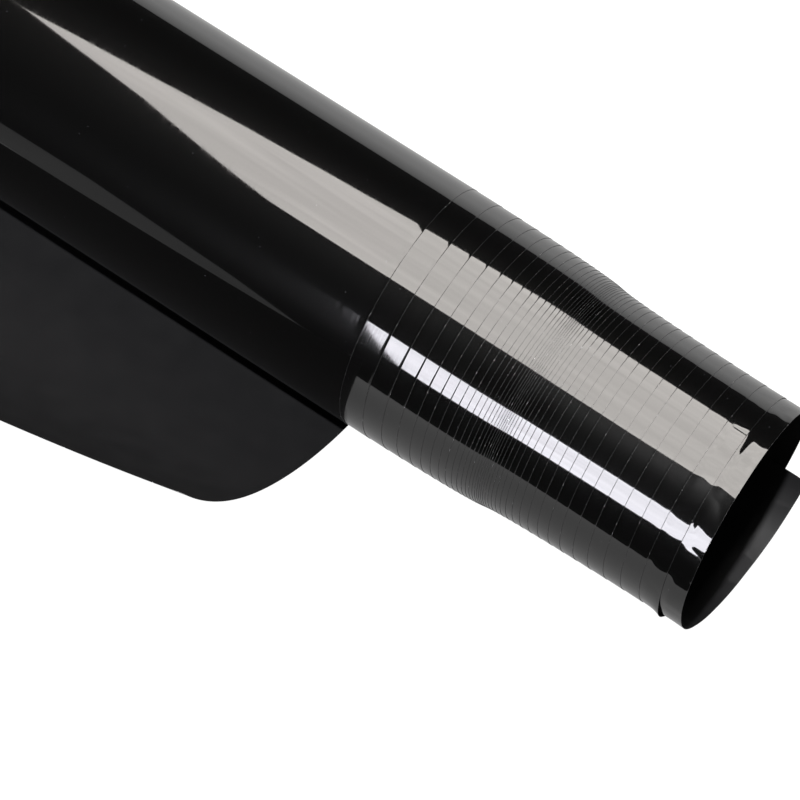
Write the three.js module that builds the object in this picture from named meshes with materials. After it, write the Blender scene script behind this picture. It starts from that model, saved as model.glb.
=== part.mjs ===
// A coreless roll of black self-adhesive sign film whose wraps have slipped sideways
// into a long stepped cone, with the free end of the film curling up beside it.
//
// The film is one long strip. It is built here turn by turn, because its turns are what
// slide on each other: film_wrap_01 is the outermost turn and film_wrap_39 the innermost.
// The free end is built in three stretches, divided where it bends when it is lifted.
//
// Frame: millimetres, +Z up. The roll lies along X on the plane z = 0, its axis is above
// y = 0, and x = 0 is the middle of the outermost turn. The inner turns have slipped
// towards +X, and the free end comes out from under the roll towards -Y.

import * as THREE from 'three';

// ---- Driving dimensions --------------------------------------------------------------

const BORE_RADIUS = 38.1;         // the film was wound on a 3 inch mandrel, since drawn out
const FILM_THICKNESS = 0.085;     // face film and adhesive
const WRAP_CLEARANCE = 0.015;     // air between one turn and the next
const FILM_WIDTH = 305;           // a 12 inch strip
const WRAP_COUNT = 39;

const SLIP_OUTER = 56.2;          // how far the outer turns have slipped, fading inwards
const SLIP_OUTER_TURNS = 4;       // the number of turns over which that fades
const SLIP_BASE = -2.006;         // what every turn takes off that slip
const SLIP_INNER = 0.0352;        // how fast the slip grows again towards the bore
const SLIP_INNER_START = 17;      // the turn where it starts to grow
const SLIP_INNER_POWER = 2.5;
const SLIP_START = 0.32;          // the first third of a turn hasn't slipped

const TAIL_LENGTH = 128;          // free film beyond the line where it leaves the roll
const TAIL_CURL_RADIUS = 102.5;   // radius it keeps from being rolled, at its right edge
const TAIL_CURL_SPREAD = 105;     // how much larger that radius is at the left edge
const TAIL_LEAN = 0.14;           // how far it leans to the left as it rises
const TAIL_FIRST_BEND = 30;       // distance along the film to the first bend line
const TAIL_SECOND_BEND = 84;      // and to the second
const BEND_GAP = 0.2;             // gap between two stretches of the free end

const FACETS = 30;                // flats in one turn; the roll rests on the lowest one
const INNER_END_FACETS = 5;       // flats by which the strip's inner end runs on past the last turn
const TAIL_STEP = 12;             // length of one flat along the free end

const FILM_COLOUR = 0x0d0d0f;
const FILM_ROUGHNESS = 0.06;
const FILM_BACK_COLOUR = 0x1d1e20;
const FILM_BACK_ROUGHNESS = 0.45;

// ---- Sizes that follow from them -----------------------------------------------------

const WRAP_PITCH = FILM_THICKNESS + WRAP_CLEARANCE;
const OUTER_RADIUS = BORE_RADIUS + WRAP_COUNT * WRAP_PITCH;
const FACET_ANGLE = (2 * Math.PI) / FACETS;
const START_ANGLE = -Math.PI / 2 - FACET_ANGLE / 2;
const AXIS_HEIGHT = OUTER_RADIUS * Math.cos(FACET_ANGLE / 2);
const LEAVING_Y = -OUTER_RADIUS * Math.sin(FACET_ANGLE / 2);

// Sideways slip of the film's edge, after a number of turns counted from the outside.
function slip(turns) {
  const slipped = Math.max(turns, SLIP_START);
  const outer = SLIP_OUTER * Math.log(1 + slipped / SLIP_OUTER_TURNS);
  const inner = SLIP_INNER * Math.max(0, slipped - SLIP_INNER_START) ** SLIP_INNER_POWER;
  return outer + SLIP_BASE * slipped + inner;
}

// The film's two edges where it has made that many turns.
function edges(turns) {
  const middle = slip(turns) - slip(0.5);
  return { left: middle - FILM_WIDTH / 2, right: middle + FILM_WIDTH / 2 };
}

// ---- One stretch of film as a closed solid -------------------------------------------

// A station is one crosswise cut through the film: its left and right x, and the y, z of
// its outer and inner faces at each edge.
function stationCorners(station) {
  const { left, right, leftOuter, rightOuter, leftInner, rightInner } = station;
  return [
    [left, ...leftOuter],
    [right, ...rightOuter],
    [right, ...rightInner],
    [left, ...leftInner],
  ];
}

// Joins a row of stations into a closed four-sided ribbon.
function ribbonGeometry(stations) {
  const positions = stations.flatMap((station) => stationCorners(station).flat());
  const indices = [];
  const addQuad = (a, b, c, d) => indices.push(a, b, c, a, c, d);
  for (let i = 0; i < stations.length - 1; i += 1) {
    const here = 4 * i;
    const next = here + 4;
    for (let corner = 0; corner < 4; corner += 1) {
      const following = (corner + 1) % 4;
      const quad = [here + following, here + corner, next + corner, next + following];
      // The inner face is split on the same diagonal as the outer, so that the film stays
      // equally thick where it is twisted.
      addQuad(...(corner < 2 ? quad : [...quad.slice(1), quad[0]]));
    }
  }
  const last = 4 * (stations.length - 1);
  addQuad(0, 1, 2, 3);
  addQuad(last + 3, last + 2, last + 1, last);
  const geometry = new THREE.BufferGeometry();
  geometry.setAttribute('position', new THREE.Float32BufferAttribute(positions, 3));
  geometry.setIndex(indices);
  geometry.computeVertexNormals();
  return geometry;
}

// ---- The turns -----------------------------------------------------------------------

// A point at a radius and an angle about the roll's axis, as y and z.
function aroundAxis(radius, angle) {
  return [radius * Math.cos(angle), AXIS_HEIGHT + radius * Math.sin(angle)];
}

// One station of a turn. The radius stays the same over the lowest facet, where the roll
// is flat on what it rests on, and falls by one pitch over the rest of the turn.
function wrapStation(wrapIndex, facet) {
  const wholeTurns = Math.floor(facet / FACETS);
  const pastLowest = Math.max(0, facet - wholeTurns * FACETS - 1);
  const sunk = wrapIndex + wholeTurns + pastLowest / (FACETS - 1);
  const outerRadius = OUTER_RADIUS - sunk * WRAP_PITCH;
  const angle = START_ANGLE + facet * FACET_ANGLE;
  const outer = aroundAxis(outerRadius, angle);
  const inner = aroundAxis(outerRadius - FILM_THICKNESS, angle);
  return {
    ...edges(wrapIndex + facet / FACETS),
    leftOuter: outer,
    rightOuter: outer,
    leftInner: inner,
    rightInner: inner,
  };
}

// The innermost turn runs on a little past its own start, up to the strip's cut end.
function wrapGeometry(wrapIndex) {
  const isInnermost = wrapIndex === WRAP_COUNT - 1;
  const facets = FACETS + (isInnermost ? INNER_END_FACETS : 0);
  const stations = [];
  for (let facet = 0; facet <= facets; facet += 1) {
    stations.push(wrapStation(wrapIndex, facet));
  }
  return ribbonGeometry(stations);
}

// ---- The free end --------------------------------------------------------------------

// The outer face, which is underneath, and the inner face, above it, at a distance along
// the free end curled to one radius.
function curledFaces(distance, curlRadius) {
  const rise = distance / curlRadius;
  const y = LEAVING_Y - curlRadius * Math.sin(rise);
  const z = curlRadius * (1 - Math.cos(rise));
  const inner = [y + FILM_THICKNESS * Math.sin(rise), z + FILM_THICKNESS * Math.cos(rise)];
  return { outer: [y, z], inner };
}

// The film's edges run on from those of the outermost turn, and lean over as they rise.
function tailStation(distance) {
  const { left, right } = edges(0);
  const leftFaces = curledFaces(distance, TAIL_CURL_RADIUS + TAIL_CURL_SPREAD);
  const rightFaces = curledFaces(distance, TAIL_CURL_RADIUS);
  return {
    left: left - TAIL_LEAN * leftFaces.outer[1],
    right: right - TAIL_LEAN * rightFaces.outer[1],
    leftOuter: leftFaces.outer,
    rightOuter: rightFaces.outer,
    leftInner: leftFaces.inner,
    rightInner: rightFaces.inner,
  };
}

// A stretch of the free end between two distances, listed from its far side inwards, as
// the turns are.
function tailGeometry(from, to) {
  const steps = Math.max(2, Math.round((to - from) / TAIL_STEP));
  const stations = [];
  for (let step = steps; step >= 0; step -= 1) {
    stations.push(tailStation(from + ((to - from) * step) / steps));
  }
  return ribbonGeometry(stations);
}

// ---- The whole roll ------------------------------------------------------------------

function filmMesh(name, geometry, color, roughness) {
  const material = new THREE.MeshStandardMaterial({ color, roughness, metalness: 0 });
  const mesh = new THREE.Mesh(geometry, material);
  mesh.name = name;
  return mesh;
}

function buildWraps() {
  const wraps = new THREE.Group();
  for (let index = 0; index < WRAP_COUNT; index += 1) {
    const name = `film_wrap_${String(index + 1).padStart(2, '0')}`;
    wraps.add(filmMesh(name, wrapGeometry(index), FILM_COLOUR, FILM_ROUGHNESS));
  }
  return wraps;
}

function buildTail() {
  const stretches = [
    ['tail_root', BEND_GAP, TAIL_FIRST_BEND - BEND_GAP / 2],
    ['tail_middle', TAIL_FIRST_BEND + BEND_GAP / 2, TAIL_SECOND_BEND - BEND_GAP / 2],
    ['tail_end', TAIL_SECOND_BEND + BEND_GAP / 2, TAIL_LENGTH],
  ];
  const tail = new THREE.Group();
  for (const [name, from, to] of stretches) {
    tail.add(filmMesh(name, tailGeometry(from, to), FILM_BACK_COLOUR, FILM_BACK_ROUGHNESS));
  }
  return tail;
}

const group = new THREE.Group();
group.add(buildWraps(), buildTail());

export default group;
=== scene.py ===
"""Coreless roll of black self-adhesive sign film whose turns have slipped into a stepped cone.

One strip of film makes 39 turns. Each turn is a surface worked out from the same few
formulas as the frame: a spiral about the roll's axis whose edge slips along the axis as it
winds inwards. The free end comes out from under the roll and curls up beside it.

Frame: metres, +Z up, the roll along X on the plane z = 0 with its axis above y = 0. The
inner turns have slipped towards +X and the free end lies towards -Y.
"""

import logging
import math
from dataclasses import dataclass, field
from enum import Enum

import bpy
import numpy as np
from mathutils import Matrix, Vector


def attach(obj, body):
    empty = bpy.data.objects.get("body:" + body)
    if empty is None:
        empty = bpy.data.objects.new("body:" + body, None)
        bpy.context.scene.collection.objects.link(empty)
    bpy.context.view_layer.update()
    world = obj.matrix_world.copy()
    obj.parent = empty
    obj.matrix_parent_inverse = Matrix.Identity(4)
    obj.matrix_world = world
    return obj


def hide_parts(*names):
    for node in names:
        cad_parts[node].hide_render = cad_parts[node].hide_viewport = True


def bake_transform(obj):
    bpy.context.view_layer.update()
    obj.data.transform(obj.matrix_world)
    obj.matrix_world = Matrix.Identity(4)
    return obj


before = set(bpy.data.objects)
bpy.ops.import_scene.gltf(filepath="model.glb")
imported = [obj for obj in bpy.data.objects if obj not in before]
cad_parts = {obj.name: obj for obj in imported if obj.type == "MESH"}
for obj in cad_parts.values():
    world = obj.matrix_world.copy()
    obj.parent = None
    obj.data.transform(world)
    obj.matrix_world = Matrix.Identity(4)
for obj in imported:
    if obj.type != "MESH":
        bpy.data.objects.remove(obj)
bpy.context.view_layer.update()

Array = np.ndarray
MM = 0.001
SHARP_ANGLE = math.radians(50)
log = logging.getLogger("film_roll")


# ---- Colour and nodes ------------------------------------------------------------------


def linear(hex_colour: str) -> tuple[float, float, float, float]:
    """Turns an sRGB hex colour into linear light.

    Args:
        hex_colour: Six hex digits after a hash sign.

    Returns:
        Linear red, green, blue and an alpha of 1.
    """
    values = [int(hex_colour[i : i + 2], 16) / 255 for i in (1, 3, 5)]
    red, green, blue = (c / 12.92 if c <= 0.04045 else ((c + 0.055) / 1.055) ** 2.4 for c in values)
    return red, green, blue, 1.0


def add_node(
    tree: bpy.types.NodeTree,
    kind: str,
    settings: dict[str, object] | None = None,
    values: dict[str, object] | None = None,
    links: dict[str, bpy.types.NodeSocket] | None = None,
) -> bpy.types.Node:
    """Adds one node with its settings, its socket values and the links into it.

    Args:
        tree: The node tree.
        kind: The node's type name.
        settings: Properties of the node itself.
        values: Values of input sockets, by socket name or number.
        links: Output sockets to join to input sockets, by socket name or number.

    Returns:
        The node.
    """
    node = tree.nodes.new(kind)
    for name, setting in (settings or {}).items():
        setattr(node, name, setting)
    for socket, value in (values or {}).items():
        node.inputs[socket].default_value = value
    for socket, source in (links or {}).items():
        tree.links.new(source, node.inputs[socket])
    return node


# ---- Finishes --------------------------------------------------------------------------


@dataclass(frozen=True)
class GlossFilm:
    """Plasticised PVC face film, cast smooth and dyed black through.

    Cast film is close to a mirror. What tells it from glass is a slow waviness, a faint
    orange peel, a thin haze of handling scratches round each bright reflection, and a
    little dust. The scratches are drawn wider than real ones, so that their haze shows, and
    a speck's core and edge are shares of the spacing of the dust.
    """

    name: str = "cast_pvc_face_film"
    colour: str = "#020202"
    dust: str = "#3c3c40"
    ior: float = 1.5
    roughness: float = 0.3
    haze_level: float = 0.015
    gloss_roughness: float = 0.02
    peel_size: float = 2.6 * MM
    peel_depth: float = 0.0006 * MM
    wave_size: float = 38 * MM
    wave_depth: float = 0.05 * MM
    scuff_length: float = 14 * MM
    scuff_width: float = 0.5 * MM
    scuff_starts: float = 0.35
    scuff_full: float = 0.85
    scuffed_roughness: float = 0.09
    dust_spacing: float = 5 * MM
    speck_core: float = 0.018
    speck_edge: float = 0.03

    def material(self) -> bpy.types.Material:
        """Makes the material: a mirror-smooth coat over a black body with a weak haze.

        Returns:
            The material. Its patterns read the piece's film map, which is in metres.
        """
        made = bpy.data.materials.new(self.name)
        made.use_nodes = True
        tree = made.node_tree
        body = tree.nodes["Principled BSDF"]
        body.inputs["Roughness"].default_value = self.roughness
        body.inputs["IOR"].default_value = self.ior
        body.inputs["Specular IOR Level"].default_value = self.haze_level
        body.inputs["Coat Weight"].default_value = 1.0
        body.inputs["Coat IOR"].default_value = self.ior
        place = add_node(tree, "ShaderNodeUVMap", {"uv_map": "film"}).outputs["UV"]
        peel = add_node(
            tree, "ShaderNodeTexNoise", None,
            {"Scale": 1 / self.peel_size, "Detail": 1.5, "Roughness": 0.4}, {"Vector": place},
        )
        waves = add_node(
            tree, "ShaderNodeTexNoise", None,
            {"Scale": 1 / self.wave_size, "Detail": 1.0, "Roughness": 0.4}, {"Vector": place},
        )
        wavy = add_node(
            tree, "ShaderNodeBump", None,
            {"Strength": 1.0, "Distance": self.wave_depth}, {"Height": waves.outputs[0]},
        )
        bump = add_node(
            tree, "ShaderNodeBump", None,
            {"Strength": 1.0, "Distance": self.peel_depth},
            {"Height": peel.outputs[0], "Normal": wavy.outputs["Normal"]},
        )
        tree.links.new(bump.outputs["Normal"], body.inputs["Coat Normal"])
        stretched = add_node(
            tree, "ShaderNodeMapping", None,
            {"Scale": (1 / self.scuff_width, 1 / self.scuff_length, 1.0)}, {"Vector": place},
        )
        scuffs = add_node(
            tree, "ShaderNodeTexNoise", None,
            {"Scale": 1.0, "Detail": 3.0, "Roughness": 0.6}, {"Vector": stretched.outputs[0]},
        )
        gloss = add_node(
            tree, "ShaderNodeMapRange", None,
            {
                "From Min": self.scuff_starts,
                "From Max": self.scuff_full,
                "To Min": self.gloss_roughness,
                "To Max": self.scuffed_roughness,
            },
            {"Value": scuffs.outputs[0]},
        )
        tree.links.new(gloss.outputs[0], body.inputs["Coat Roughness"])
        specks = add_node(
            tree, "ShaderNodeTexVoronoi", {"feature": "F1"},
            {"Scale": 1 / self.dust_spacing, "Randomness": 1.0}, {"Vector": place},
        )
        speck = add_node(
            tree, "ShaderNodeMapRange", None,
            {"From Min": self.speck_core, "From Max": self.speck_edge, "To Min": 1.0, "To Max": 0.0},
            {"Value": specks.outputs["Distance"]},
        )
        tint = add_node(
            tree, "ShaderNodeMix", {"data_type": "RGBA"},
            {6: linear(self.colour), 7: linear(self.dust)}, {0: speck.outputs[0]},
        )
        tree.links.new(tint.outputs[2], body.inputs["Base Color"])
        return made


@dataclass(frozen=True)
class SatinBack:
    """Back of the film: black pressure-sensitive adhesive, rolled on.

    It is dark and satin, with a faint mottle where the adhesive lies thicker. Its grain is
    drawn coarser than the real one, so that it shows.
    """

    name: str = "satin_adhesive_back"
    colour: str = "#060607"
    thick_colour: str = "#0a0a0b"
    ior: float = 1.47
    level: float = 0.14
    roughness: float = 0.6
    smoother: float = 0.05
    rougher: float = 0.06
    mottle_size: float = 9 * MM
    grain_size: float = 0.8 * MM
    grain_depth: float = 0.004 * MM

    def material(self) -> bpy.types.Material:
        """Makes the material.

        Returns:
            The material. Its patterns read the piece's film map, which is in metres.
        """
        made = bpy.data.materials.new(self.name)
        made.use_nodes = True
        tree = made.node_tree
        body = tree.nodes["Principled BSDF"]
        body.inputs["IOR"].default_value = self.ior
        body.inputs["Specular IOR Level"].default_value = self.level
        place = add_node(tree, "ShaderNodeUVMap", {"uv_map": "film"}).outputs["UV"]
        mottle = add_node(
            tree, "ShaderNodeTexNoise", None,
            {"Scale": 1 / self.mottle_size, "Detail": 3.0}, {"Vector": place},
        )
        tint = add_node(
            tree, "ShaderNodeMix", {"data_type": "RGBA"},
            {6: linear(self.colour), 7: linear(self.thick_colour)}, {0: mottle.outputs[0]},
        )
        tree.links.new(tint.outputs[2], body.inputs["Base Color"])
        shine = add_node(
            tree, "ShaderNodeMapRange", None,
            {"To Min": self.roughness - self.smoother, "To Max": self.roughness + self.rougher},
            {"Value": mottle.outputs[0]},
        )
        tree.links.new(shine.outputs[0], body.inputs["Roughness"])
        grain = add_node(
            tree, "ShaderNodeTexNoise", None,
            {"Scale": 1 / self.grain_size, "Detail": 2.0}, {"Vector": place},
        )
        bump = add_node(
            tree, "ShaderNodeBump", None,
            {"Strength": 1.0, "Distance": self.grain_depth}, {"Height": grain.outputs[0]},
        )
        tree.links.new(bump.outputs["Normal"], body.inputs["Normal"])
        return made


@dataclass(frozen=True)
class CutEdge:
    """Edge of PVC film where a blade slit it: dull, with pale flecks that are painted glints of light on the
    edge.
    """

    name: str = "slit_pvc_edge"
    colour: str = "#18181a"
    # Pale colour of the flecks on the edge: painted glints where the edge catches the light.
    glint_colour: str = "#b4b4b6"
    roughness: float = 0.6
    glint_size: float = 1.6 * MM
    glint_starts: float = 0.6
    glint_full: float = 0.75

    def material(self) -> bpy.types.Material:
        """Makes the material.

        Returns:
            The material, with painted glints: pale flecks a millimetre or two long.
        """
        made = bpy.data.materials.new(self.name)
        made.use_nodes = True
        tree = made.node_tree
        body = tree.nodes["Principled BSDF"]
        body.inputs["Roughness"].default_value = self.roughness
        place = add_node(tree, "ShaderNodeUVMap", {"uv_map": "film"}).outputs["UV"]
        # Pale flecks mixed into the edge colour: painted glints, not wear.
        glints = add_node(
            tree, "ShaderNodeTexNoise", None,
            {"Scale": 1 / self.glint_size, "Detail": 2.0}, {"Vector": place},
        )
        share = add_node(
            tree, "ShaderNodeMapRange", None,
            {"From Min": self.glint_starts, "From Max": self.glint_full},
            {"Value": glints.outputs[0]},
        )
        tint = add_node(
            tree, "ShaderNodeMix", {"data_type": "RGBA"},
            {6: linear(self.colour), 7: linear(self.glint_colour)}, {0: share.outputs[0]},
        )
        tree.links.new(tint.outputs[2], body.inputs["Base Color"])
        return made


@dataclass(frozen=True)
class TableTop:
    """Opal acrylic sheet lit from below, as a light table has, so that shadows stay faint.

    It glows fully for the camera. In reflections it is dimmer, and dimmest near the roll,
    where the glow is turned down as a painted shadow of the roll.
    """

    name: str = "opal_acrylic_light_table"
    colour: str = "#3f3f3f"
    roughness: float = 0.9
    near: float = 0.05
    far: float = 0.25
    # Glow in reflections close to the roll: turned down as a painted shadow.
    painted_shade_glow: float = 0.25
    far_glow: float = 0.8

    def material(self) -> bpy.types.Material:
        """Makes the material.

        Returns:
            The material, whose glow in reflections grows with the distance from y = 0, a painted shadow near
            the roll.
        """
        made = bpy.data.materials.new(self.name)
        made.use_nodes = True
        tree = made.node_tree
        body = tree.nodes["Principled BSDF"]
        body.inputs["Base Color"].default_value = linear(self.colour)
        body.inputs["Roughness"].default_value = self.roughness
        body.inputs["Specular IOR Level"].default_value = 0.0
        body.inputs["Emission Color"].default_value = (1.0, 1.0, 1.0, 1.0)
        place = add_node(tree, "ShaderNodeTexCoord").outputs["Object"]
        parts = add_node(tree, "ShaderNodeSeparateXYZ", None, None, {0: place})
        off_axis = add_node(
            tree, "ShaderNodeMath", {"operation": "ABSOLUTE"}, None, {0: parts.outputs["Y"]}
        )
        # Glow in reflections lowered near y = 0: painted shadow of the roll on the table.
        glow_with_painted_shade = add_node(
            tree, "ShaderNodeMapRange", None,
            {
                "From Min": self.near,
                "From Max": self.far,
                "To Min": self.painted_shade_glow,
                "To Max": self.far_glow,
            },
            {"Value": off_axis.outputs[0]},
        )
        path = add_node(tree, "ShaderNodeLightPath")
        glow = add_node(
            tree, "ShaderNodeMath", {"operation": "MAXIMUM"}, None,
            {0: glow_with_painted_shade.outputs[0], 1: path.outputs["Is Camera Ray"]},
        )
        tree.links.new(glow.outputs[0], body.inputs["Emission Strength"])
        return made


class Side(Enum):
    """The sides of the film, numbered as its material slots."""

    FACE = 0
    BACK = 1
    EDGE = 2


@dataclass
class FilmFinishes:
    """The three finishes that every piece of film carries, in the order of Side."""

    face: bpy.types.Material = field(default_factory=lambda: GlossFilm().material())
    back: bpy.types.Material = field(default_factory=lambda: SatinBack().material())
    edge: bpy.types.Material = field(default_factory=lambda: CutEdge().material())

    def dress(self, mesh: bpy.types.Mesh) -> None:
        """Gives a mesh the three materials in the order of Side."""
        for material in (self.face, self.back, self.edge):
            mesh.materials.append(material)


# ---- The strip of film -----------------------------------------------------------------


@dataclass(frozen=True)
class FilmStrip:
    """How the one strip is wound, with the same sizes as the frame.

    The inner end is how far the strip runs on past its last whole turn, in turns.
    """

    bore_radius: float = 38.1 * MM
    thickness: float = 0.085 * MM
    clearance: float = 0.015 * MM
    width: float = 305 * MM
    turns: int = 39
    inner_end: float = 5 / 30
    slip_outer: float = 56.2 * MM
    slip_outer_turns: float = 4.0
    slip_base: float = -2.006 * MM
    slip_inner: float = 0.0352 * MM
    slip_inner_start: float = 17.0
    slip_inner_power: float = 2.5
    slip_start: float = 0.32
    resting_half_angle: float = math.radians(6)

    @property
    def pitch(self) -> float:
        """How far the film sinks towards the axis in one turn."""
        return self.thickness + self.clearance

    @property
    def outer_radius(self) -> float:
        """The radius where the outermost turn starts."""
        return self.bore_radius + self.turns * self.pitch

    @property
    def axis_height(self) -> float:
        """The height of the roll's axis when it rests on its lowest flat."""
        return self.outer_radius * math.cos(self.resting_half_angle)

    @property
    def leaving_y(self) -> float:
        """Where the free end leaves the underside of the roll."""
        return -self.outer_radius * math.sin(self.resting_half_angle)

    def slip(self, turns: Array) -> Array:
        """How far the film has slipped along the axis after a number of turns.

        A logarithm that fades over the outer turns, less a steady amount for each turn,
        plus a power of the turns past the one where the slip starts to grow again. The
        first part of the outermost turn hasn't slipped.

        Args:
            turns: Turns counted from the outside.

        Returns:
            The slip towards +X.
        """
        slipped = np.maximum(turns, self.slip_start)
        outer = self.slip_outer * np.log1p(slipped / self.slip_outer_turns)
        inner = np.maximum(0, slipped - self.slip_inner_start) ** self.slip_inner_power
        return outer + self.slip_base * slipped + self.slip_inner * inner

    def edges(self, turns: Array) -> tuple[Array, Array]:
        """The x of the film's left and right edges after a number of turns."""
        middle = self.slip(turns) - self.slip(np.array(0.5))
        return middle - self.width / 2, middle + self.width / 2

    def angle(self, turns: Array) -> Array:
        """The angle about the axis, from +Y towards +Z, after a number of turns."""
        return 2 * np.pi * turns - np.pi / 2 - self.resting_half_angle


@dataclass(frozen=True)
class RollShape:
    """How far the whole roll is out of round, the same for every turn and all along it.

    A sum of cosines in whole cycles about the axis, so that the shape closes on itself. It
    is the same at every x, so the turns slide on each other without cutting through.
    """

    seed: int = 11
    height: float = 0.04 * MM
    most_cycles: int = 5

    def at(self, angle: Array) -> Array:
        """The change of radius, which is the sum of cosines with falling heights.

        Args:
            angle: Angles about the axis.

        Returns:
            The change of radius at each angle.
        """
        rng = np.random.default_rng(self.seed)
        phases = rng.uniform(0, 2 * np.pi, self.most_cycles + 1)
        cycles = range(2, self.most_cycles + 1)
        total = sum(np.cos(cycle * angle + phases[cycle]) / cycle for cycle in cycles)
        return self.height * total


@dataclass(frozen=True)
class Ripple:
    """Seeded waves on the film itself, by its distance across and along the strip.

    A sum of waves of many headings and lengths. They are cosines, or triangular waves,
    whose flats and creases make film look crumpled.
    """

    seed: int
    height: float
    shortest: float
    longest: float
    waves: int = 8
    creased: bool = False

    def at(self, across: Array, along: Array) -> Array:
        """The height of the ripple.

        Args:
            across: Distance across the strip.
            along: Distance along the strip.

        Returns:
            The height, of the order of the named height.
        """
        rng = np.random.default_rng(self.seed)
        lengths = np.exp(rng.uniform(math.log(self.shortest), math.log(self.longest), self.waves))
        headings = rng.uniform(0, 2 * np.pi, self.waves)
        phases = rng.uniform(0, 2 * np.pi, self.waves)
        total = np.zeros(np.broadcast(across, along).shape)
        for length, heading, phase in zip(lengths, headings, phases):
            travel = math.cos(heading) * across + math.sin(heading) * along
            swing = np.sin(2 * np.pi * travel / length + phase)
            wave = np.arcsin(swing) * 2 / np.pi if self.creased else swing
            total += wave * length / self.longest
        return self.height * total / math.sqrt(self.waves)


def smooth_step(share: Array) -> Array:
    """Rises smoothly from 0 to 1 as the share does: 3 times its square less 2 times its cube."""
    held = np.clip(share, 0, 1)
    return held * held * (3 - 2 * held)


# ---- Film as a closed sheet ------------------------------------------------------------


@dataclass
class FilmSheet:
    """One stretch of film as a closed sheet between two grids of points.

    Rows run along the strip and columns across it. The face and back grids are joined by
    a strip of narrow faces round their border, which are the film's cut edges. The face's
    last columns carry the finish of a cut edge too, whose pale flecks are painted glints.
    """

    name: str
    face: Array
    back: Array
    film_map: Array
    # Last face columns given the edge finish, whose pale flecks are painted glints.
    glint_columns: int = 0

    def quads(self) -> tuple[Array, Array]:
        """Works out the faces and their sides.

        Returns:
            Corner numbers of every quad, and the number of the Side that it belongs to.
        """
        rows, columns = self.face.shape[:2]
        number = np.arange(rows * columns).reshape(rows, columns)
        behind = number + rows * columns
        face = np.stack([number[:-1, :-1], number[:-1, 1:], number[1:, 1:], number[1:, :-1]], -1)
        back = np.stack([behind[:-1, :-1], behind[1:, :-1], behind[1:, 1:], behind[:-1, 1:]], -1)
        face_sides = np.full(face.shape[:2], Side.FACE.value)
        if self.glint_columns:
            face_sides[:, -self.glint_columns :] = Side.EDGE.value
        around = np.concatenate([number[0, :-1], number[:-1, -1], number[-1, :0:-1], number[:0:-1, 0]])
        ahead = np.roll(around, -1)
        shift = rows * columns
        border = np.stack([around, around + shift, ahead + shift, ahead], -1)
        quads = np.concatenate([face.reshape(-1, 4), back.reshape(-1, 4), border])
        sides = np.concatenate(
            [
                face_sides.ravel(),
                np.full(back.shape[0] * back.shape[1], Side.BACK.value),
                np.full(len(border), Side.EDGE.value),
            ]
        )
        return quads, sides

    def build(self, finishes: FilmFinishes) -> bpy.types.Object:
        """Makes the object, with its faces outwards, its film map and its three finishes.

        Args:
            finishes: The materials of the film's sides.

        Returns:
            The new object, linked to the scene.
        """
        points = np.concatenate([self.face.reshape(-1, 3), self.back.reshape(-1, 3)])
        quads, sides = self.quads()
        corners = points[quads]
        volume = np.einsum("ij,ij->", corners[:, 0], np.cross(corners[:, 1], corners[:, 2])) + np.einsum(
            "ij,ij->", corners[:, 0], np.cross(corners[:, 2], corners[:, 3])
        )
        if volume < 0:
            quads = quads[:, ::-1]
        mesh = bpy.data.meshes.new(self.name)
        mesh.vertices.add(len(points))
        mesh.vertices.foreach_set("co", points.astype(np.float32).ravel())
        mesh.loops.add(quads.size)
        mesh.loops.foreach_set("vertex_index", quads.astype(np.int32).ravel())
        mesh.polygons.add(len(quads))
        mesh.polygons.foreach_set("loop_start", np.arange(0, quads.size, 4, dtype=np.int32))
        finishes.dress(mesh)
        mesh.polygons.foreach_set("material_index", sides.astype(np.int32))
        mesh.update(calc_edges=True)
        mesh.polygons.foreach_set("use_smooth", np.ones(len(quads), bool))
        film_map = np.concatenate([self.film_map.reshape(-1, 2)] * 2)[quads.ravel()]
        mesh.uv_layers.new(name="film").data.foreach_set("uv", film_map.astype(np.float32).ravel())
        mesh.set_sharp_from_angle(angle=SHARP_ANGLE)
        mesh.validate()
        made = bpy.data.objects.new(self.name, mesh)
        bpy.context.scene.collection.objects.link(made)
        return made


# ---- The wound turns -------------------------------------------------------------------


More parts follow.
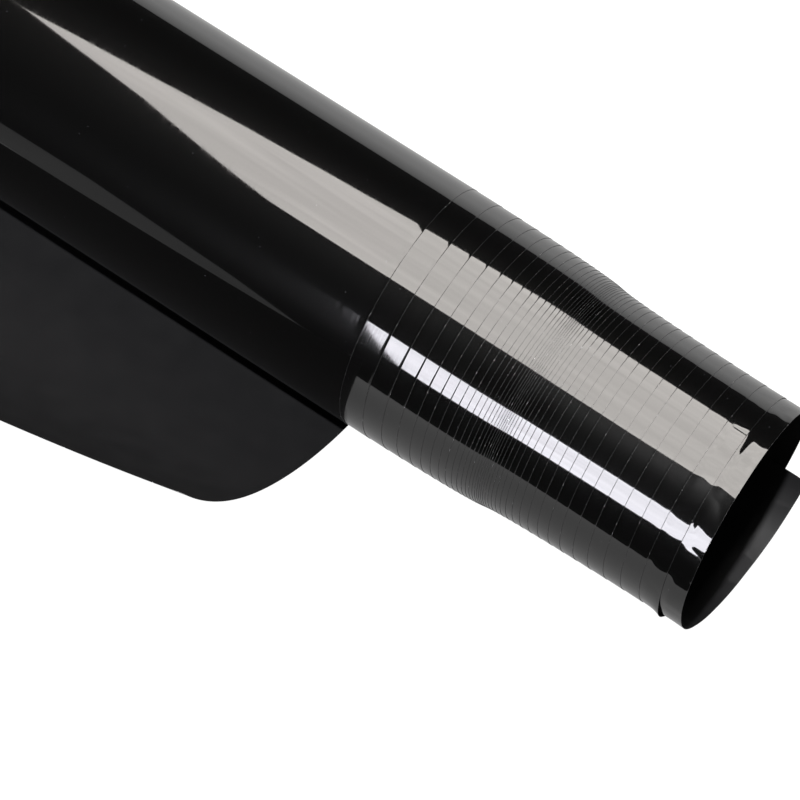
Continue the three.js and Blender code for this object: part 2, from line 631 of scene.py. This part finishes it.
@dataclass(frozen=True)
class WoundTurns:
    """The 39 turns on the roll, each a piece of its own that slides along the axis.

    The lip stays lower than the air between turns, so that it clears the turn outside when
    it slides. Its width is at most a share of the open strip, and a turn's open strip starts
    a share of the lip's width under the turn outside. The cut gap, in turns, is left where
    one turn's end meets the next one's start.
    """

    strip: FilmStrip = FilmStrip()
    shape: RollShape = RollShape()
    rows_per_turn: int = 288
    crumpled_rows: int = 720
    long_columns: int = 110
    covered_columns: int = 8
    open_columns: int = 10
    lip_columns: int = 7
    lip_width: float = 0.16 * MM
    lip_most: float = 0.4
    lip_crowding: float = 0.7
    tuck: float = 0.3
    lip_height: float = 0.012 * MM
    crumpled_from: int = 35
    crumple_height: float = 0.4 * MM
    crease_shortest: float = 16 * MM
    crease_longest: float = 42 * MM
    crease_waves: int = 4
    crease_seed: int = 7
    crumple_onset: float = 3.0
    cut_gap: float = 0.0004
    lifted_turn: int = 37
    lift_height: float = 1.1 * MM
    lift_angle: float = math.radians(195)
    lift_spread: float = math.radians(13)
    lift_sharpness: int = 3

    def crumple_share(self, index: int) -> float:
        """How crumpled a turn is, from 0 to 1 at the innermost turn."""
        last = self.strip.turns - 1
        return max(0.0, (index - self.crumpled_from) / (last - self.crumpled_from)) ** 2

    def creases(self, index: int) -> Ripple:
        """The creases of one crumpled turn, each with its own seed."""
        return Ripple(
            seed=self.crease_seed + index,
            height=self.crumple_height,
            shortest=self.crease_shortest,
            longest=self.crease_longest,
            waves=self.crease_waves,
            creased=True,
        )

    def across(self, index: int, turns: Array) -> tuple[Array, Array, Array]:
        """Places the columns of one turn across the film.

        They lie thinly under the turn outside, evenly over the strip that it leaves open,
        and closely over the lip at the right edge.

        Args:
            index: The turn, counted from 0 at the outside.
            turns: A column of turns counted from the outside, one for each row.

        Returns:
            The x of every point, its share of the open strip, and its share of the lip.
        """
        left, right = self.strip.edges(turns)
        covered_to = self.strip.edges(turns - 1)[1] if index else left
        open_width = right - covered_to
        lip = np.minimum(self.lip_width, self.lip_most * open_width)
        lip_start = right - lip
        open_start = covered_to - (self.tuck * lip if index else 0.0)
        parts = []
        if index:
            parts.append(left + (open_start - left) * np.linspace(0, 1, self.covered_columns)[:-1])
        columns = self.open_columns if index else self.long_columns
        parts.append(open_start + (lip_start - open_start) * np.linspace(0, 1, columns)[:-1])
        parts.append(lip_start + lip * np.linspace(0, 1, self.lip_columns) ** self.lip_crowding)
        x = np.concatenate([np.broadcast_to(p, (len(turns), p.shape[1])) for p in parts], 1)
        return x, np.clip((x - covered_to) / open_width, 0, 1), (x - lip_start) / lip

    def sheet(self, index: int) -> FilmSheet:
        """Works out one turn.

        The radius falls steadily along the strip. To it are added the shape that all turns
        share, the lip that the slitting blade raised along the free edge, the crumpling of
        the innermost turns, which stands outwards only, and a bell-shaped lift on one turn.

        Args:
            index: The turn, counted from 0 at the outside.

        Returns:
            The turn's face and back.
        """
        strip = self.strip
        crumpled = self.crumple_share(index)
        length = 1 + (strip.inner_end if index == strip.turns - 1 else 0)
        rows = round((self.crumpled_rows if crumpled else self.rows_per_turn) * length)
        turns = index + np.linspace(0, length - self.cut_gap, rows + 1)[:, None]
        angle = strip.angle(turns)
        x, open_share, lip_share = self.across(index, turns)
        along = turns * 2 * np.pi * strip.outer_radius
        middle = x - strip.slip(turns)

        own = self.lip_height * smooth_step(lip_share)
        if crumpled:
            raised = np.abs(self.creases(index).at(middle, along))
            own = own + crumpled * raised * smooth_step(open_share * self.crumple_onset)
        if index == self.lifted_turn:
            off = (angle - self.lift_angle + np.pi) % (2 * np.pi) - np.pi
            lift = self.lift_height * np.exp(-((off / self.lift_spread) ** 2))
            own = own + lift * open_share**self.lift_sharpness

        radius = strip.outer_radius - strip.pitch * turns + self.shape.at(angle) + own
        face = self.around(x, radius, angle, strip.pitch * turns)
        back = self.around(x, radius - strip.thickness, angle, strip.pitch * turns + strip.thickness)
        film_map = np.stack([middle, np.broadcast_to(along, x.shape)], -1)
        # The last face column takes the edge finish with its painted glints.
        return FilmSheet(f"wound_turn_{index + 1:02d}", face, back, film_map, glint_columns=1)

    def around(self, x: Array, radius: Array, angle: Array, lowest: Array) -> Array:
        """Bends a flat stretch about the roll's axis, and rests it on its lowest flat.

        Args:
            x: Distance along the axis.
            radius: Distance from the axis.
            angle: Angle about the axis, from +Y towards +Z.
            lowest: The least height that any point may have.

        Returns:
            The points.
        """
        y = radius * np.cos(angle)
        z = np.maximum(self.strip.axis_height + radius * np.sin(angle), lowest)
        return np.stack([x, y, z], -1)

    def build(self, finishes: FilmFinishes) -> None:
        """Makes every turn and has it ride on its own body.

        Args:
            finishes: The materials of the film's sides.
        """
        for index in range(self.strip.turns):
            piece = self.sheet(index).build(finishes)
            node = f"film_wrap_{index + 1:02d}"
            body = f"turn_{index + 1:02d}" if index else "outer_turn_and_tail_root"
            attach(piece, body)
            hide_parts(node)
            log.info("%s on %s: %d faces", piece.name, body, len(piece.data.polygons))


# ---- The free end ----------------------------------------------------------------------


@dataclass(frozen=True)
class FreeEnd:
    """The free end of the strip, with its back up, curling up beside the roll.

    Every cut along the strip is an arc that starts flat under the roll. The arc is tightest
    at the right edge and opens evenly towards the left edge, and it leans over to the left.
    """

    strip: FilmStrip = FilmStrip()
    length: float = 128 * MM
    curl_radius: float = 102.5 * MM
    curl_spread: float = 105 * MM
    lean: float = 0.14
    first_bend: float = 30 * MM
    second_bend: float = 84 * MM
    bend_reach: float = 12 * MM
    ripple_reach: float = 90 * MM
    ripple: Ripple = Ripple(seed=21, height=0.5 * MM, shortest=45 * MM, longest=160 * MM, waves=7)
    columns: int = 150
    rows: int = 90

    def points(self, distance: Array, share: Array, depth: float) -> Array:
        """Points on the free end.

        Args:
            distance: Distance along the film from where it leaves the roll.
            share: Share of the width, from 0 at the right edge to 1 at the left.
            depth: Distance above the film's face, which is underneath.

        Returns:
            The points.
        """
        right = float(self.strip.edges(np.array(0.0))[1])
        radius = self.curl_radius + self.curl_spread * share
        rise = distance / radius
        x = right - self.strip.width * share - self.lean * radius * (1 - np.cos(rise))
        lifted = depth + self.ripple.at(x, distance) * smooth_step(distance / self.ripple_reach)
        y = self.strip.leaving_y - radius * np.sin(rise) + lifted * np.sin(rise)
        z = radius * (1 - np.cos(rise)) + lifted * np.cos(rise)
        return np.stack([x, y, z], -1)

    def sheet(self, name: str, start: float, stop: float) -> FilmSheet:
        """Works out one stretch.

        Args:
            name: The piece's name.
            start: Where the stretch starts, along the film from the roll.
            stop: Where it stops.

        Returns:
            The stretch's face and back.
        """
        distance = np.linspace(start, stop, self.rows)[:, None]
        share = np.linspace(1, 0, self.columns)[None, :]
        face = self.points(distance, share, 0.0)
        back = self.points(distance, share, self.strip.thickness)
        film_map = np.stack([face[..., 0], np.broadcast_to(-distance, face.shape[:2])], -1)
        return FilmSheet(name, face, back, film_map)

    def middle_point(self, distance: float) -> tuple[float, float, float]:
        """A point half way across the free end."""
        return tuple(float(c) for c in self.points(np.array(distance), np.array(0.5), 0.0))

    def build(self, finishes: FilmFinishes) -> None:
        """Makes the free end in two pieces.

        They meet half way along the middle stretch.

        Args:
            finishes: The materials of the film's sides.
        """
        meeting = (self.first_bend + self.second_bend) / 2
        near = self.sheet("free_end_near", 0.0, meeting).build(finishes)
        far = self.sheet("free_end_far", meeting, self.length).build(finishes)
        bends = [
            (near, "outer_turn_and_tail_root", "tail_middle", self.first_bend, ["tail_root", "tail_middle"]),
            (far, "tail_middle", "tail_end", self.second_bend, ["tail_end"]),
        ]
        for piece, first, second, bend, nodes in bends:
            before = self.middle_point(bend - self.bend_reach)
            after = self.middle_point(bend + self.bend_reach)
            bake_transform(piece)
            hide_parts(*nodes)
            log.info("%s from %s to %s: %d faces", piece.name, first, second, len(piece.data.polygons))


# ---- The studio ------------------------------------------------------------------------


@dataclass(frozen=True)
class Softbox:
    """A flat glowing panel with any outline. Its diffuser cloth glows a little unevenly."""

    name: str
    outline: tuple[tuple[float, float, float], ...]
    colour: str
    strength: float
    unevenness: float = 0.12
    fold_size: float = 0.16
    fold_range: tuple[float, float] = (0.25, 0.75)

    def build(self) -> bpy.types.Object:
        """Makes the panel. The camera doesn't see it, but the film's gloss does.

        Returns:
            The panel.
        """
        mesh = bpy.data.meshes.new(self.name)
        mesh.from_pydata(self.outline, [], [tuple(range(len(self.outline)))])
        material = bpy.data.materials.new(self.name)
        material.use_nodes = True
        tree = material.node_tree
        tree.nodes.remove(tree.nodes["Principled BSDF"])
        place = add_node(tree, "ShaderNodeTexCoord").outputs["Object"]
        folds = add_node(
            tree, "ShaderNodeTexNoise", None,
            {"Scale": 1 / self.fold_size, "Detail": 3.0, "Distortion": 0.6}, {"Vector": place},
        )
        strength = add_node(
            tree, "ShaderNodeMapRange", None,
            {
                "From Min": self.fold_range[0],
                "From Max": self.fold_range[1],
                "To Min": self.strength * (1 - self.unevenness),
                "To Max": self.strength * (1 + self.unevenness),
            },
            {"Value": folds.outputs[0]},
        )
        glow = add_node(
            tree, "ShaderNodeEmission", None,
            {"Color": linear(self.colour)}, {"Strength": strength.outputs[0]},
        )
        tree.links.new(glow.outputs[0], tree.nodes["Material Output"].inputs["Surface"])
        mesh.materials.append(material)
        made = bpy.data.objects.new(self.name, mesh)
        bpy.context.scene.collection.objects.link(made)
        made.visible_camera = False
        made.visible_shadow = False
        return made


@dataclass(frozen=True)
class Studio:
    """A light table, a softbox overhead, two panels in front, a key light, and the camera."""

    azimuth: float = math.radians(35.254)
    elevation: float = math.radians(65.673)
    distance: float = 1.3906
    aim: tuple[float, float, float] = (0.1485, 0.0, -0.0346)
    lens: float = 189.0
    sensor: float = 36.0
    clip: tuple[float, float] = (0.01, 30.0)
    table_front: float = 0.306
    table_size: float = 6.0
    overhead_height: float = 1.2
    overhead_outline: tuple[tuple[float, float], ...] = (
        (0.35, -0.25),
        (-0.235, -0.22),
        (-0.33, 0.115),
        (-0.44, 0.35),
        (-0.382, 0.575),
        (-0.27, 1.09),
        (-0.18, 1.4),
        (0.35, 1.4),
    )
    overhead_strength: float = 10.9
    front_distance: float = 1.5
    front_outline: tuple[tuple[float, float], ...] = (
        (-0.215, 0.56),
        (0.25, 0.56),
        (0.25, 1.2),
        (-0.34, 1.25),
    )
    front_strength: float = 22.0
    low_outline: tuple[tuple[float, float], ...] = (
        (-0.9, -0.5),
        (-0.2, -0.5),
        (-0.27, 0.08),
        (-0.33, 0.21),
        (-0.46, 0.33),
        (-0.9, 0.2),
    )
    low_strength: float = 0.5
    key_direction: tuple[float, float, float] = (0.089, -0.264, 0.965)
    key_distance: float = 1.6
    key_size: float = 0.05
    key_power: float = 80.0
    fill: float = 0.45
    dark: float = 0.012

    def direction(self) -> Vector:
        """The unit vector from the roll to the camera."""
        flat = math.cos(self.elevation)
        return Vector(
            (math.sin(self.azimuth) * flat, -math.cos(self.azimuth) * flat, math.sin(self.elevation))
        )

    def build_camera(self) -> None:
        """Makes the camera, which aims at the middle of the view with no shift and no roll."""
        camera = bpy.data.objects.new("camera", bpy.data.cameras.new("camera"))
        bpy.context.scene.collection.objects.link(camera)
        camera.data.lens = self.lens
        camera.data.sensor_width = self.sensor
        camera.data.clip_start, camera.data.clip_end = self.clip
        camera.location = Vector(self.aim) + self.direction() * self.distance
        camera.rotation_euler = (-self.direction()).to_track_quat("-Z", "Y").to_euler()
        bpy.context.scene.camera = camera

    def build_table(self) -> None:
        """Makes the table top. Its front edge is square to the camera, just out of its view."""
        towards = Vector((math.sin(self.azimuth), -math.cos(self.azimuth), 0.0))
        aside = Vector((math.cos(self.azimuth), math.sin(self.azimuth), 0.0))
        near, far = towards * self.table_front, towards * -self.table_size
        half = aside * self.table_size / 2
        corners = [near - half, near + half, far + half, far - half]
        mesh = bpy.data.meshes.new("table_top")
        mesh.from_pydata([tuple(c) for c in corners], [], [(0, 1, 2, 3)])
        mesh.materials.append(TableTop().material())
        top = bpy.data.objects.new("table_top", mesh)
        bpy.context.scene.collection.objects.link(top)

    def build_lights(self) -> None:
        """Makes the softboxes: one overhead with a pointed left end, and two in front."""
        overhead = tuple((x, y, self.overhead_height) for x, y in self.overhead_outline)
        Softbox("overhead_softbox", overhead, "#fffaf5", self.overhead_strength).build()
        front = tuple((x, -self.front_distance, z) for x, z in self.front_outline)
        Softbox("front_softbox", front, "#f8f7ff", self.front_strength).build()
        low = tuple((x, -self.front_distance, z) for x, z in self.low_outline)
        Softbox("low_panel", low, "#ffffff", self.low_strength).build()

    def build_key(self) -> None:
        """Makes the small key light, above the camera's left shoulder. It shines into the bore."""
        lamp = bpy.data.lights.new("key_light", "AREA")
        lamp.shape, lamp.size, lamp.energy = "DISK", self.key_size, self.key_power
        made = bpy.data.objects.new("key_light", lamp)
        bpy.context.scene.collection.objects.link(made)
        towards = Vector(self.key_direction).normalized()
        made.location = Vector(self.aim) + towards * self.key_distance
        made.rotation_euler = (-towards).to_track_quat("-Z", "Y").to_euler()
        made.visible_camera = False

    def build_world(self) -> None:
        """Makes the surroundings: pale for the camera and as fill, dark in the film's gloss."""
        world = bpy.data.worlds.new("studio")
        world.use_nodes = True
        bpy.context.scene.world = world
        tree = world.node_tree
        path = add_node(tree, "ShaderNodeLightPath")
        backdrop = tree.nodes["Background"]
        backdrop.inputs["Color"].default_value = (1.0, 1.0, 1.0, 1.0)
        seen = add_node(
            tree, "ShaderNodeMapRange", None,
            {"To Min": self.dark, "To Max": self.fill}, {"Value": path.outputs["Is Diffuse Ray"]},
        )
        strength = add_node(
            tree, "ShaderNodeMath", {"operation": "ADD"}, None,
            {0: seen.outputs[0], 1: path.outputs["Is Camera Ray"]},
        )
        tree.links.new(strength.outputs[0], backdrop.inputs["Strength"])

    def build(self) -> None:
        """Makes the whole studio."""
        bpy.context.scene.view_settings.view_transform = "Standard"
        self.build_camera()
        self.build_table()
        self.build_lights()
        self.build_key()
        self.build_world()
        log.info("studio built")


def main() -> None:
    """Builds the film, then the studio."""
    logging.basicConfig(level=logging.INFO, format="%(name)s: %(message)s")
    finishes = FilmFinishes()
    Studio().build()
    WoundTurns().build(finishes)
    FreeEnd().build(finishes)


if __name__ == "__main__":
    main()
